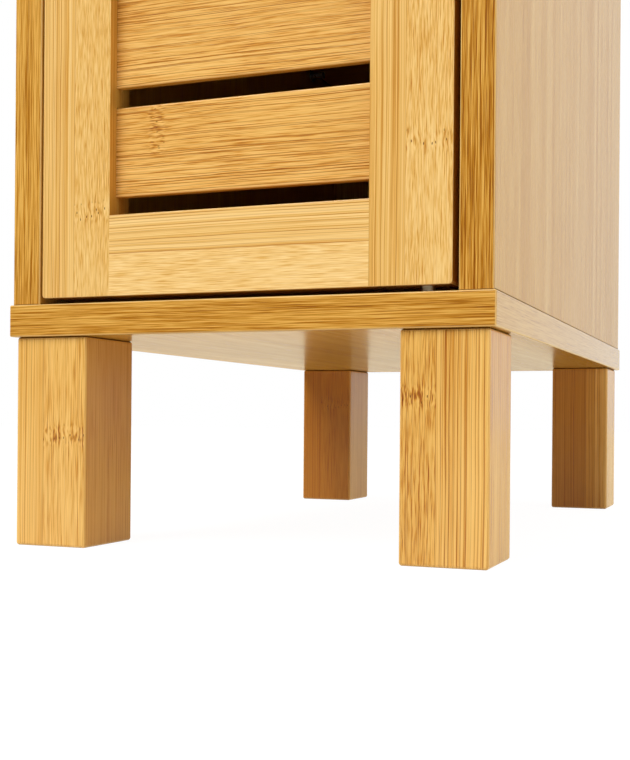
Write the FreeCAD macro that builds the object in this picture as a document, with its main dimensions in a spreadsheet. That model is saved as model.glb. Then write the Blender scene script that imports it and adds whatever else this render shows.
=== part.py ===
import FreeCAD, Part
import os
import re
import Sketcher

# Narrow bathroom cabinet: a laminated carcass on four bamboo legs, closed by a louvred bamboo door
# that turns on two pivot pins at its right edge.
# Frame: +X to the right, -Y to the front, +Z up. The origin is on the floor, in the middle of the
# box that holds the whole cabinet, knob included. Lengths are in millimetres.

SIZES = {
    # Carcass boards
    "cabinet_width": 245,
    "cabinet_depth": 385,
    "board_thickness": 15.5,
    "board_overhang": 1.2,
    "side_height": 667,
    "panel_thickness": 15.5,
    "panel_bevel": 0.4,
    "edge_band": 1.0,
    "band_round_share": 0.8,
    # Back panel in its grooves
    "back_thickness": 5,
    "back_clearance": 0.2,
    "groove_depth": 5,
    "groove_rear_wall": 10,
    # Legs with their hanger bolts and insert nuts
    "leg_width": 40,
    "leg_height": 102,
    "leg_side_inset": 3,
    "leg_end_inset": 2,
    "leg_round": 1.5,
    "hanger_diameter": 8,
    "hanger_leg_depth": 36,
    "hanger_insert_depth": 12,
    "hanger_tip": 6,
    "insert_diameter": 11,
    "insert_length": 13,
    # Dowels between the boards and the side panels
    "dowel_diameter": 8,
    "dowel_board_depth": 10,
    "dowel_panel_depth": 20,
    "dowel_inset": 92,
    # Cam bolts and cam locks
    "cam_inset": 50,
    "cam_distance": 24,
    "cam_diameter": 15,
    "cam_depth": 12.5,
    "cam_throat": 7.4,
    "cam_slot_width": 1.6,
    "cam_slot_length": 9,
    "cam_slot_depth": 2,
    "bolt_bore": 8,
    "bolt_thread_diameter": 5,
    "bolt_thread_length": 10,
    "bolt_shank_diameter": 4.5,
    "bolt_head_diameter": 6.4,
    "bolt_head_height": 3,
    # Shelves and shelf pins
    "shelf_thickness": 15.5,
    "shelf_setback": 30,
    "shelf_side_clearance": 1.6,
    "shelf_rear_clearance": 1,
    "shelf_seat_clearance": 0.1,
    "lower_pin_height": 210,
    "upper_pin_height": 432,
    "pin_inset": 62,
    "pin_hole_pitch": 32,
    "pin_row_count": 3,
    "pin_diameter": 5,
    "pin_depth": 9,
    "pin_reach": 9,
    "pin_collar_diameter": 8,
    "pin_collar_height": 1.2,
    # Door frame
    "door_thickness": 16,
    "door_recess": 0.5,
    "door_gap_free": 1.0,
    "door_gap_hinge": 2.8,
    "door_gap_bottom": 3,
    "door_gap_top": 3,
    "door_round": 0.5,
    "door_corner_round": 1.8,
    "stile_width": 38,
    "rail_width": 38.5,
    "rail_round": 0.6,
    "frame_dowel_diameter": 6,
    "frame_dowel_depth": 15,
    "frame_dowel_inset": 11,
    # Slats of the louvre
    "slat_count": 11,
    "slat_gap": 9.5,
    "slat_thickness": 4.5,
    "slat_setback": 5.5,
    "slat_tenon": 6,
    "slat_round": 0.9,
    "slat_clearance": 0.1,
    # Pivot pins and bushes of the door
    "pivot_inset": 13,
    "pivot_pin_diameter": 5,
    "pivot_pin_in_door": 22,
    "pivot_pin_in_bush": 8,
    "pivot_collar_diameter": 6.5,
    "pivot_clearance": 0.05,
    "pivot_play": 0.1,
    "bush_diameter": 8,
    "bush_length": 11,
    # Knob and its screw
    "knob_height": 400,
    "knob_diameter": 26,
    "knob_length": 22,
    "knob_foot_diameter": 15,
    "knob_foot_height": 2,
    "knob_neck_diameter": 11,
    "knob_neck_start": 4.5,
    "knob_neck_end": 8.5,
    "knob_flare_end": 12.5,
    "knob_dome_round": 6,
    "knob_bore_depth": 13,
    "knob_screw_diameter": 4,
    "knob_screw_grip": 12,
    "knob_screw_head_diameter": 8,
    "knob_screw_head_height": 2.2,
    # Magnetic catch on the left side panel
    "catch_width": 15,
    "catch_depth": 15,
    "catch_height": 48,
    "catch_housing_height": 28,
    "catch_ear_thickness": 2.5,
    "catch_screw_inset": 5,
    "catch_screw_diameter": 3,
    "catch_screw_depth": 9,
    "catch_screw_head_diameter": 6,
    "catch_screw_head_height": 1.8,
    "catch_gap": 0.2,
    "magnet_thickness": 5,
    "magnet_depth": 10,
    "magnet_height": 22,
    "pole_thickness": 1.2,
    "pole_depth": 11,
    "pole_reach": 0.8,
    # Strike plate on the left stile
    "strike_inset": 2,
    "strike_width": 9,
    "strike_height": 30,
    "strike_thickness": 1.2,
    "strike_screw_diameter": 2.5,
    "strike_screw_length": 11,
    "strike_screw_head_diameter": 4.4,
    "strike_screw_head_height": 0.95,
    # Slack of a pin or screw in its bore, room under its tip, and reach of cuts past a face
    "fit_clearance": 0.05,
    "bore_end_gap": 0.5,
    "overrun": 1,
}

# Places and sizes that follow from the driving sizes, in the frame of the cabinet.
LAYOUT = {
    "band_round": "edge_band * band_round_share",
    # Levels and planes
    "knob_reach": "knob_length - board_overhang - door_recess",
    "front_y": "(knob_reach - cabinet_depth) / 2",
    "rear_y": "front_y + cabinet_depth",
    "carcass_y": "front_y + board_overhang",
    "side_z": "leg_height + board_thickness",
    "top_z": "side_z + side_height",
    "left_x": "-cabinet_width / 2",
    "panel_left_x": "left_x + board_overhang",
    "inner_left_x": "panel_left_x + panel_thickness",
    "inner_width": "cabinet_width - 2 * (board_overhang + panel_thickness)",
    "inner_right_x": "inner_left_x + inner_width",
    # Cores of the boards and panels behind their edge bands
    "board_core_width": "cabinet_width - 2 * edge_band",
    "board_core_depth": "cabinet_depth - edge_band",
    "panel_core_depth": "cabinet_depth - board_overhang - edge_band",
    # Joints between boards and panels
    "joint_x": "cabinet_width / 2 - board_overhang - panel_thickness / 2",
    "joint_edge": "board_overhang + panel_thickness / 2 - edge_band",
    "dowel_bore": "dowel_diameter + 2 * fit_clearance",
    "dowel_length": "dowel_board_depth + dowel_panel_depth - 2 * bore_end_gap",
    "bolt_length": "bolt_thread_length + cam_distance + bolt_head_height / 2",
    # Back panel
    "groove_width": "back_thickness + 2 * back_clearance",
    "back_engagement": "groove_depth - back_clearance",
    "back_width": "inner_width + 2 * back_engagement",
    "back_y": "rear_y - groove_rear_wall - back_clearance - back_thickness",
    # Legs
    "leg_x": "cabinet_width / 2 - leg_side_inset - leg_width / 2",
    "leg_front_y": "front_y + leg_end_inset + leg_width / 2",
    "leg_rear_y": "rear_y - leg_end_inset - leg_width / 2",
    # Shelves
    "shelf_width": "inner_width - 2 * shelf_side_clearance",
    "shelf_front_y": "carcass_y + shelf_setback",
    "shelf_core_depth": "back_y - shelf_rear_clearance - shelf_front_y - edge_band",
    "shelf_lift": "pin_diameter / 2 + shelf_seat_clearance",
    # Door
    "door_left_x": "inner_left_x + door_gap_free",
    "door_width": "inner_width - door_gap_free - door_gap_hinge",
    "door_front_y": "carcass_y + door_recess",
    "door_back_y": "door_front_y + door_thickness",
    "door_z": "side_z + door_gap_bottom",
    "door_height": "side_height - door_gap_bottom - door_gap_top",
    "rail_length": "door_width - 2 * stile_width",
    "frame_dowel_length": "2 * (frame_dowel_depth - bore_end_gap)",
    "frame_dowel_bore": "frame_dowel_diameter + 2 * fit_clearance",
    "slat_height": "(door_height - 2 * rail_width - (slat_count + 1) * slat_gap) / slat_count",
    "slat_pitch": "slat_height + slat_gap",
    "slot_start": "rail_width + slat_gap - slat_clearance",
    "pivot_x": "door_left_x + door_width - pivot_inset",
    "pivot_y": "door_front_y + door_thickness / 2",
    # Knob
    "knob_x": "door_left_x + stile_width / 2",
    "knob_z": "door_z + knob_height",
    "knob_screw_length": "knob_screw_grip + door_thickness",
    # Catch, with its magnet stack in line with the strike plate
    "catch_z": "side_z + (lower_pin_height + upper_pin_height) / 2",
    "pole_y": "door_back_y + strike_thickness + catch_gap",
    "catch_y": "pole_y + pole_reach",
    "stack_width": "magnet_thickness + 2 * pole_thickness",
    "stack_x": "door_gap_free + strike_inset + (strike_width - stack_width) / 2",
}

ZERO = "0"
FULL_TURN = 360
HALF_TURN = 180
QUARTER_TURN = 90
TOUCH = 1e-6

X_AXIS = FreeCAD.Vector(1, 0, 0)
Y_AXIS = FreeCAD.Vector(0, 1, 0)
Z_AXIS = FreeCAD.Vector(0, 0, 1)

# Where the axis of a turned piece points once it is in place.
UP = FreeCAD.Rotation()
DOWN = FreeCAD.Rotation(X_AXIS, HALF_TURN)
FRONT = FreeCAD.Rotation(X_AXIS, QUARTER_TURN)
BACK = FreeCAD.Rotation(X_AXIS, -QUARTER_TURN)
RIGHT = FreeCAD.Rotation(Y_AXIS, QUARTER_TURN)
LEFT = FreeCAD.Rotation(Y_AXIS, -QUARTER_TURN)

# Sense of each plane's normal on the axis that crosses the plane.
NORMALS = {"XY_Plane": 1, "YZ_Plane": 1, "XZ_Plane": -1}
# Sides of a box, as the limits of its bounding box.
SIDES = {"left": "XMin", "right": "XMax", "front": "YMin", "back": "YMax", "bottom": "ZMin", "top": "ZMax"}
FORWARD, BACKWARD = 1, -1

doc = FreeCAD.newDocument("NarrowCabinet")
nodes = []


# Sheets and formulas

def qualify(formula):
    """Put the name of its sheet before each size that a formula names."""
    def with_sheet(match):
        word = match.group()
        if word in SIZES:
            return "Sizes." + word
        return "Layout." + word if word in LAYOUT else word
    return re.sub(r"[a-z][a-z_]*", with_sheet, formula)


def fill_sheet(name, cells):
    sheet = doc.addObject("Spreadsheet::Sheet", name)
    for row, (alias, content) in enumerate(cells.items(), 1):
        sheet.set(f"A{row}", alias)
        sheet.set(f"B{row}", content)
        sheet.setAlias(f"B{row}", alias)
    doc.recompute()
    return sheet


sizes = fill_sheet("Sizes", {alias: str(size) for alias, size in SIZES.items()})
fill_sheet("Layout", {alias: "=" + qualify(formula) for alias, formula in LAYOUT.items()})


def value(formula):
    return float(sizes.evalExpression(qualify(formula)))


def bind(item, target, formula):
    item.setExpression(target, qualify(formula))


# Sketches

def add_sketch(body, name, plane, level=ZERO):
    """Empty sketch on one of the body's own planes, moved along the axis that crosses it."""
    sketch = body.newObject("Sketcher::SketchObject", name)
    support = next(item for item in body.Origin.OriginFeatures if item.Role == plane)
    sketch.AttachmentSupport = [(support, "")]
    sketch.MapMode = "FlatFace"
    bind(sketch, "AttachmentOffset.Base.z", f"{NORMALS[plane]} * ({level})")
    return sketch


def fix_point(sketch, geometry, vertex, place):
    """Tie a point of the sketch to the formulas of its two coordinates."""
    for kind, axis, formula in zip(("DistanceX", "DistanceY"), (-2, -1), place):
        if formula == ZERO:
            sketch.addConstraint(Sketcher.Constraint("PointOnObject", geometry, vertex, axis))
        else:
            distance = Sketcher.Constraint(kind, -1, 1, geometry, vertex, value(formula))
            index = sketch.addConstraint(distance)
            bind(sketch, f"Constraints[{index}]", formula)


def draw_outline(sketch, corners):
    points = [FreeCAD.Vector(value(across), value(along), 0) for across, along in corners]
    count = len(points)
    for index, point in enumerate(points):
        sketch.addGeometry(Part.LineSegment(point, points[(index + 1) % count]), False)
    for index in range(count):
        sketch.addConstraint(Sketcher.Constraint("Coincident", index, 2, (index + 1) % count, 1))
    for index, corner in enumerate(corners):
        fix_point(sketch, index, 1, corner)


def draw_circle(sketch, centre, diameter):
    point = FreeCAD.Vector(value(centre[0]), value(centre[1]), 0)
    circle = sketch.addGeometry(Part.Circle(point, Z_AXIS, value(diameter) / 2), False)
    fix_point(sketch, circle, 3, centre)
    index = sketch.addConstraint(Sketcher.Constraint("Diameter", circle, value(diameter)))
    bind(sketch, f"Constraints[{index}]", diameter)


def rectangle(across, along, width, height):
    far_across = width if across == ZERO else f"{across} + {width}"
    far_along = height if along == ZERO else f"{along} + {height}"
    return [(across, along), (far_across, along), (far_across, far_along), (across, far_along)]


# Solids

def add_pad(body, sketch, height):
    pad = body.newObject("PartDesign::Pad", sketch.Name + "_pad")
    pad.Profile = sketch
    bind(pad, "Length", height)
    body.Tip = pad


def block(label, width, depth, height, rounded=(), radius=ZERO):
    """Box with its lowest corner at the origin, rounded along the edges between the named sides."""
    body = doc.addObject("PartDesign::Body", label)
    sketch = add_sketch(body, label + "_outline", "XY_Plane")
    draw_outline(sketch, rectangle(ZERO, ZERO, width, depth))
    add_pad(body, sketch, height)
    if rounded:
        round_edges(body, rounded, radius)
    return body


def turned(label, profile):
    """Solid turned about Z from a profile of radii and heights."""
    body = doc.addObject("PartDesign::Body", label)
    sketch = add_sketch(body, label + "_profile", "XZ_Plane")
    draw_outline(sketch, profile)
    revolution = body.newObject("PartDesign::Revolution", label + "_revolution")
    revolution.Profile = sketch
    revolution.ReferenceAxis = (sketch, ["V_Axis"])
    revolution.Angle = FULL_TURN
    body.Tip = revolution
    return body


def lies_on(edge, side, box):
    limit = SIDES[side]
    axis = limit[0].lower()
    return all(abs(getattr(vertex.Point, axis) - getattr(box, limit)) < TOUCH for vertex in edge.Vertexes)


def dress(body, feature, edges, size):
    """Round or bevel edges of the body, given by their names."""
    base = body.Tip
    dressed = body.newObject("PartDesign::" + feature, f"{body.Name}_{feature.lower()}")
    dressed.Base = (base, edges)
    bind(dressed, "Radius" if feature == "Fillet" else "Size", size)
    body.Tip = dressed


def edges_between(body, pairs):
    """Names of the edges of a box that lie between two named sides, such as "front top"."""
    doc.recompute()
    shape = body.Tip.Shape
    box = shape.BoundBox
    return [f"Edge{number}" for number, edge in enumerate(shape.Edges, 1)
            if any(all(lies_on(edge, side, box) for side in pair.split()) for pair in pairs)]


def round_edges(body, pairs, radius):
    dress(body, "Fillet", edges_between(body, pairs), radius)


def bevel_edges(body, pairs, size):
    dress(body, "Chamfer", edges_between(body, pairs), size)


def rim(body, axis, level):
    """Names of the circular edges whose centre lies at a level on one axis."""
    doc.recompute()
    return [f"Edge{number}" for number, edge in enumerate(body.Tip.Shape.Edges, 1)
            if hasattr(edge.Curve, "Radius")
            and abs(getattr(edge.Curve.Center, axis) - value(level)) < TOUCH]


def add_pocket(body, sketch, plane, sense, depth):
    """Cut along the axis that crosses the plane, forward or backward on that axis."""
    pocket = body.newObject("PartDesign::Pocket", sketch.Name + "_pocket")
    pocket.Profile = sketch
    pocket.Reversed = sense == NORMALS[plane]
    bind(pocket, "Length", depth)
    body.Tip = pocket
    return pocket


def drill(body, name, plane, level, sense, places, diameter, depth):
    sketch = add_sketch(body, f"{body.Name}_{name}", plane, level)
    for place in places:
        draw_circle(sketch, place, diameter)
    return add_pocket(body, sketch, plane, sense, depth)


def rout(body, name, plane, level, sense, corners, depth):
    sketch = add_sketch(body, f"{body.Name}_{name}", plane, level)
    draw_outline(sketch, corners)
    return add_pocket(body, sketch, plane, sense, depth)


def repeat_upward(body, feature, count, length):
    pattern = body.newObject("PartDesign::LinearPattern", feature.Name + "_row")
    pattern.Originals = [feature]
    pattern.Direction = (next(item for item in body.Origin.OriginFeatures if item.Role == "Z_Axis"), [""])
    bind(pattern, "Occurrences", count)
    bind(pattern, "Length", length)
    body.Tip = pattern


# Nodes

def move(item, place, rotation=UP):
    item.Placement = FreeCAD.Placement(FreeCAD.Vector(), rotation)
    for axis, formula in zip("xyz", place):
        bind(item, "Placement.Base." + axis, formula)


def node(body, place, rotation=UP):
    """One piece in its place, with a file of its own."""
    move(body, place, rotation)
    nodes.append(body)


def group(label, body, spots):
    """Equal pieces that share one node: copies of a body, each with its place and direction."""
    copies = []
    for place, rotation in spots:
        copy = doc.addObject("App::Link", body.Name + "_copy")
        copy.LinkedObject = body
        move(copy, place, rotation)
        copies.append(copy)
    compound = doc.addObject("Part::Compound", label)
    compound.Links = copies
    nodes.append(compound)


# Carcass boards

ALONG_Y = ("left bottom", "left top", "right bottom", "right top")
ALONG_FRONT = ("front bottom", "front top")
BAND_ENDS = ("left front", "right front")


def joint_places(inset):
    """Places on a board under or over the side panels, at one inset from the front and the rear."""
    near_y = f"board_overhang + {inset} - edge_band"
    far_y = f"board_core_depth - {inset}"
    far_x = "board_core_width - joint_edge"
    return [(across, along) for across in ("joint_edge", far_x) for along in (near_y, far_y)]


def carcass_board(label, level, sense):
    """Base or top board: its bores and groove start at one level and run up or down from there."""
    board = block(label, "board_core_width", "board_core_depth", "board_thickness")
    face = ("XY_Plane", level, sense)
    drill(board, "dowel_bores", *face, joint_places("dowel_inset"), "dowel_bore", "dowel_board_depth")
    drill(board, "bolt_bores", *face, joint_places("cam_inset"),
          "bolt_thread_diameter + 2 * fit_clearance", "bolt_thread_length + bore_end_gap")
    pivot = ("pivot_x - left_x - edge_band", "pivot_y - front_y - edge_band")
    drill(board, "bush_bore", *face, [pivot],
          "bush_diameter + 2 * fit_clearance", "bush_length + bore_end_gap")
    groove = rectangle("(board_core_width - back_width) / 2 - back_clearance",
                       "board_core_depth - groove_rear_wall - groove_width",
                       "back_width + 2 * back_clearance", "groove_width")
    rout(board, "groove", *face, groove, "groove_depth")
    return board


def board_bands(name, level):
    """Front band over the ends of the two side bands of a board."""
    front = block(name + "_front_edge_band", "cabinet_width", "edge_band", "board_thickness",
                  ALONG_Y + ALONG_FRONT + BAND_ENDS, "band_round")
    node(front, ("left_x", "front_y", level))
    side = block(name + "_side_band", "edge_band", "board_core_depth", "board_thickness",
                 ("left bottom", "left top"), "band_round")
    turned_over = FreeCAD.Rotation(Y_AXIS, HALF_TURN)
    group(name + "_side_edge_bands", side, [
        (("left_x", "front_y + edge_band", level), UP),
        (("-left_x", "front_y + edge_band", f"{level} + board_thickness"), turned_over),
    ])


base = carcass_board("base_board", "board_thickness", BACKWARD)
leg_edge_x = "leg_side_inset + leg_width / 2 - edge_band"
leg_edge_y = "leg_end_inset + leg_width / 2 - edge_band"
leg_places = [(across, along)
              for across in (leg_edge_x, f"board_core_width - ({leg_edge_x})")
              for along in (leg_edge_y, "board_core_depth - leg_end_inset - leg_width / 2")]
drill(base, "insert_bores", "XY_Plane", ZERO, FORWARD, leg_places,
      "insert_diameter + 2 * fit_clearance", "insert_length + bore_end_gap")
node(base, ("left_x + edge_band", "front_y + edge_band", "leg_height"))
board_bands("base", "leg_height")

top = carcass_board("top_board", ZERO, FORWARD)
node(top, ("left_x + edge_band", "front_y + edge_band", "top_z"))
board_bands("top", "top_z")


# Side panels

def panel_places(inset, heights):
    """Places on a side panel, at one inset from its front and its rear and at each height."""
    return [(along, height)
            for along in (f"{inset} - edge_band", f"panel_core_depth - {inset}")
            for height in heights]


def side_panel(label, outer, inner_level, sense):
    """Panel whose inner face lies at the given level; cuts into that face run in the given sense."""
    panel = block(label, "panel_thickness", "panel_core_depth", "side_height")
    bevel_edges(panel, (outer + " bottom", outer + " top"), "panel_bevel")
    face = ("YZ_Plane", inner_level, sense)
    cam_heights = ("cam_distance", "side_height - cam_distance")
    drill(panel, "cam_bores", *face, panel_places("cam_inset", cam_heights),
          "cam_diameter + 2 * fit_clearance", "cam_depth + fit_clearance")
    first_row = "- (pin_row_count - 1) / 2 * pin_hole_pitch"
    pin_heights = ("lower_pin_height " + first_row, "upper_pin_height " + first_row)
    pin_holes = drill(panel, "pin_holes", *face, panel_places("pin_inset", pin_heights),
                      "pin_diameter + 2 * fit_clearance", "pin_depth + bore_end_gap")
    repeat_upward(panel, pin_holes, "pin_row_count", "(pin_row_count - 1) * pin_hole_pitch")
    groove = rectangle("panel_core_depth - groove_rear_wall - groove_width", ZERO,
                       "groove_width", "side_height")
    rout(panel, "groove", *face, groove, "groove_depth")
    for end, level, inward in (("bottom", ZERO, FORWARD), ("top", "side_height", BACKWARD)):
        edge = ("XY_Plane", level, inward)
        for name, inset, diameter, depth in (
                ("dowel", "dowel_inset", "dowel_bore", "dowel_panel_depth"),
                ("bolt", "cam_inset", "bolt_bore", "cam_distance")):
            middle = "panel_thickness / 2"
            places = [(middle, f"{inset} - edge_band"), (middle, f"panel_core_depth - {inset}")]
            drill(panel, f"{end}_{name}_bores", *edge, places, diameter, depth)
    return panel


left_panel = side_panel("left_side_panel", "left", "panel_thickness", BACKWARD)
screw_heights = [f"catch_z - side_z {sign} (catch_height / 2 - catch_screw_inset)" for sign in "-+"]
screw_along = "catch_y + catch_depth / 2 - carcass_y - edge_band"
drill(left_panel, "catch_bores", "YZ_Plane", "panel_thickness", BACKWARD,
      [(screw_along, height) for height in screw_heights],
      "catch_screw_diameter + 2 * fit_clearance", "catch_screw_depth + bore_end_gap")
node(left_panel, ("panel_left_x", "carcass_y + edge_band", "side_z"))
right_panel = side_panel("right_side_panel", "right", ZERO, FORWARD)
node(right_panel, ("inner_right_x", "carcass_y + edge_band", "side_z"))

for label, start in (("left_panel_edge_band", "panel_left_x"), ("right_panel_edge_band", "inner_right_x")):
    band = block(label, "panel_thickness", "edge_band", "side_height")
    bevel_edges(band, ALONG_FRONT, "panel_bevel")
    round_edges(band, BAND_ENDS, "band_round")
    node(band, (start, "carcass_y", "side_z"))

back = block("back_panel", "back_width", "back_thickness", "side_height + 2 * back_engagement")
node(back, ("-back_width / 2", "back_y", "side_z - back_engagement"))


# Shelves on their pins

for label, pin_height in (("lower_shelf", "lower_pin_height"), ("upper_shelf", "upper_pin_height")):
    height = f"side_z + {pin_height} + shelf_lift"
    shelf = block(label, "shelf_width", "shelf_core_depth", "shelf_thickness")
    node(shelf, ("-shelf_width / 2", "shelf_front_y + edge_band", height))
    band = block(label + "_edge_band", "shelf_width", "edge_band", "shelf_thickness",
                 ALONG_FRONT, "band_round")
    node(band, ("-shelf_width / 2", "shelf_front_y", height))

pin_end = "pin_depth + pin_collar_height + pin_reach"
shelf_pin = turned("shelf_pin", [
    (ZERO, ZERO),
    ("pin_diameter / 2", ZERO),
    ("pin_diameter / 2", "pin_depth"),
    ("pin_collar_diameter / 2", "pin_depth"),
    ("pin_collar_diameter / 2", "pin_depth + pin_collar_height"),
    ("pin_diameter / 2", "pin_depth + pin_collar_height"),
    ("pin_diameter / 2", pin_end),
    (ZERO, pin_end),
])
group("shelf_pins", shelf_pin, [
    ((start, along, f"side_z + {height}"), direction)
    for start, direction in (("inner_left_x - pin_depth", RIGHT), ("inner_right_x + pin_depth", LEFT))
    for along in ("carcass_y + pin_inset", "rear_y - pin_inset")
    for height in ("lower_pin_height", "upper_pin_height")
])


# Legs with their bolts and nuts

ALL_EDGES = ALONG_Y + BAND_ENDS + ALONG_FRONT + ("left back", "right back", "back bottom", "back top")
LEG_AXES = {
    "leg_front_left": ("-leg_x", "leg_front_y"),
    "leg_front_right": ("leg_x", "leg_front_y"),
    "leg_rear_left": ("-leg_x", "leg_rear_y"),
    "leg_rear_right": ("leg_x", "leg_rear_y"),
}

for label, (across, along) in LEG_AXES.items():
    leg = block(label, "leg_width", "leg_width", "leg_height", ALL_EDGES, "leg_round")
    drill(leg, "bolt_bore", "XY_Plane", "leg_height", BACKWARD, [("leg_width / 2", "leg_width / 2")],
          "hanger_diameter + 2 * fit_clearance", "hanger_leg_depth + bore_end_gap")
    node(leg, (f"{across} - leg_width / 2", f"{along} - leg_width / 2", ZERO))

hanger_end = "hanger_leg_depth + hanger_insert_depth"
hanger_bolt = turned("hanger_bolt", [
    (ZERO, ZERO),
    ("hanger_diameter / 2", "hanger_tip"),
    ("hanger_diameter / 2", hanger_end),
    (ZERO, hanger_end),
])
group("leg_hanger_bolts", hanger_bolt, [
    ((across, along, "leg_height - hanger_leg_depth"), UP) for across, along in LEG_AXES.values()
])

insert_bore = "hanger_diameter / 2 + fit_clearance"
insert_nut = turned("insert_nut", [
    (insert_bore, ZERO),
    ("insert_diameter / 2", ZERO),
    ("insert_diameter / 2", "insert_length"),
    (insert_bore, "insert_length"),
])
group("leg_insert_nuts", insert_nut, [
    ((across, along, "leg_height"), UP) for across, along in LEG_AXES.values()
])


# Fittings between boards and panels

def round_bar(label, diameter, length):
    body = doc.addObject("PartDesign::Body", label)
    sketch = add_sketch(body, label + "_outline", "XY_Plane")
    draw_circle(sketch, (ZERO, ZERO), diameter)
    add_pad(body, sketch, length)
    return body


dowel = round_bar("carcass_dowel", "dowel_diameter", "dowel_length")
group("carcass_dowels", dowel, [
    ((across, along, height), UP)
    for across in ("-joint_x", "joint_x")
    for along in ("carcass_y + dowel_inset", "rear_y - dowel_inset")
    for height in ("side_z - dowel_board_depth + bore_end_gap", "top_z - dowel_panel_depth + bore_end_gap")
])

head_start = "bolt_length - bolt_head_height"
cam_bolt = turned("cam_bolt", [
    (ZERO, ZERO),
    ("bolt_thread_diameter / 2", ZERO),
    ("bolt_thread_diameter / 2", "bolt_thread_length"),
    ("bolt_shank_diameter / 2", "bolt_thread_length"),
    ("bolt_shank_diameter / 2", head_start),
    ("bolt_head_diameter / 2", head_start),
    ("bolt_head_diameter / 2", "bolt_length"),
    (ZERO, "bolt_length"),
])
cam_rows = [(across, along) for across in ("-joint_x", "joint_x")
            for along in ("carcass_y + cam_inset", "rear_y - cam_inset")]
group("cam_bolts", cam_bolt, [
    ((across, along, height), direction)
    for across, along in cam_rows
    for height, direction in (("side_z - bolt_thread_length", UP), ("top_z + bolt_thread_length", DOWN))
])

# Cam lock: its visible face, with the driver slot, lies at the origin; the bolt enters along +Y.
cam_lock = round_bar("cam_lock", "cam_diameter", "cam_depth")
drill(cam_lock, "throat", "XZ_Plane", "-cam_throat / 2", FORWARD, [(ZERO, "panel_thickness / 2")],
      "cam_throat", "(cam_throat + cam_diameter) / 2 + overrun")
slot_sketch = add_sketch(cam_lock, "cam_lock_slot", "YZ_Plane", "-cam_slot_width / 2")
draw_outline(slot_sketch, [
    ("-cam_slot_length / 2", ZERO),
    ("cam_slot_length / 2", ZERO),
    ("cam_slot_length / 2", "cam_slot_depth"),
    ("-cam_slot_length / 2", "cam_slot_depth"),
])
add_pocket(cam_lock, slot_sketch, "YZ_Plane", FORWARD, "cam_slot_width")

group("cam_locks", cam_lock, [
    ((start, along, height), FreeCAD.Rotation(entry.cross(inward), entry, inward, "ZYX"))
    for start, inward in (("inner_left_x", -X_AXIS), ("inner_right_x", X_AXIS))
    for along in ("carcass_y + cam_inset", "rear_y - cam_inset")
    for height, entry in (("side_z + cam_distance", -Z_AXIS), ("top_z - cam_distance", Z_AXIS))
])


# Pivots of the door

bush_bore = "pivot_pin_diameter / 2 + pivot_clearance"
for label, level, direction in (("lower_pivot_bush", "side_z - bush_length", UP),
                                ("upper_pivot_bush", "top_z + bush_length", DOWN)):
    bush = turned(label, [
        (bush_bore, ZERO),
        ("bush_diameter / 2", ZERO),
        ("bush_diameter / 2", "bush_length"),
        (bush_bore, "bush_length"),
    ])
    node(bush, ("pivot_x", "pivot_y", level), direction)


def pivot_pin(label, gap, level, direction):
    """Pin whose collar fills the gap between door and bush; its free end turns in the bush."""
    free_end = "pivot_pin_in_bush + pivot_play"
    door_edge = f"pivot_pin_in_bush + {gap}"
    pin_top = f"{door_edge} + pivot_pin_in_door"
    pin = turned(label, [
        (ZERO, ZERO),
        ("pivot_pin_diameter / 2", ZERO),
        ("pivot_pin_diameter / 2", free_end),
        ("pivot_collar_diameter / 2", free_end),
        ("pivot_collar_diameter / 2", door_edge),
        ("pivot_pin_diameter / 2", door_edge),
        ("pivot_pin_diameter / 2", pin_top),
        (ZERO, pin_top),
    ])
    node(pin, ("pivot_x", "pivot_y", level), direction)


pivot_pin("lower_pivot_pin", "door_gap_bottom", "side_z - pivot_pin_in_bush", UP)
pivot_pin("upper_pivot_pin", "door_gap_top", "top_z + pivot_pin_in_bush", DOWN)


# Door frame

FRAME_ENDS = ("front bottom", "front top", "back bottom", "back top")


def rail_dowel_heights(start):
    return [f"{start} + frame_dowel_inset", f"{start} + rail_width - frame_dowel_inset"]


def stile(label, outer, inner_level, sense):
    """Upright of the frame, with a slot for each slat and bores for the rail dowels in its inner edge."""
    body = block(label, "stile_width", "door_thickness", "door_height",
                 (f"{outer} bottom", f"{outer} top"), "door_corner_round")
    round_edges(body, FRAME_ENDS + (f"{outer} front", f"{outer} back"), "door_round")
    face = ("YZ_Plane", inner_level, sense)
    outline = rectangle("slat_setback - slat_clearance", "slot_start",
                        "slat_thickness + 2 * slat_clearance", "slat_height + 2 * slat_clearance")
    slot = rout(body, "slat_slot", *face, outline, "slat_tenon + slat_clearance")
    repeat_upward(body, slot, "slat_count", "(slat_count - 1) * slat_pitch")
    heights = rail_dowel_heights(ZERO) + rail_dowel_heights("door_height - rail_width")
    drill(body, "dowel_bores", *face, [("door_thickness / 2", height) for height in heights],
          "frame_dowel_bore", "frame_dowel_depth")
    return body


left_stile = stile("door_left_stile", "left", "stile_width", BACKWARD)
drill(left_stile, "knob_hole", "XZ_Plane", ZERO, FORWARD, [("stile_width / 2", "knob_height")],
      "knob_screw_diameter + 2 * fit_clearance", "door_thickness + overrun")
drill(left_stile, "strike_bore", "XZ_Plane", "door_thickness", BACKWARD,
      [("strike_inset + strike_width / 2", "catch_z - door_z")],
      "strike_screw_diameter + 2 * fit_clearance", "strike_screw_length - strike_thickness + bore_end_gap")
node(left_stile, ("door_left_x", "door_front_y", "door_z"))

right_stile = stile("door_right_stile", "right", ZERO, FORWARD)
for end, level, inward in (("lower", ZERO, FORWARD), ("upper", "door_height", BACKWARD)):
    drill(right_stile, end + "_pivot_bore", "XY_Plane", level, inward,
          [("stile_width - pivot_inset", "door_thickness / 2")],
          "pivot_pin_diameter + 2 * fit_clearance", "pivot_pin_in_door + bore_end_gap")
node(right_stile, ("door_left_x + door_width - stile_width", "door_front_y", "door_z"))

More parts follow.
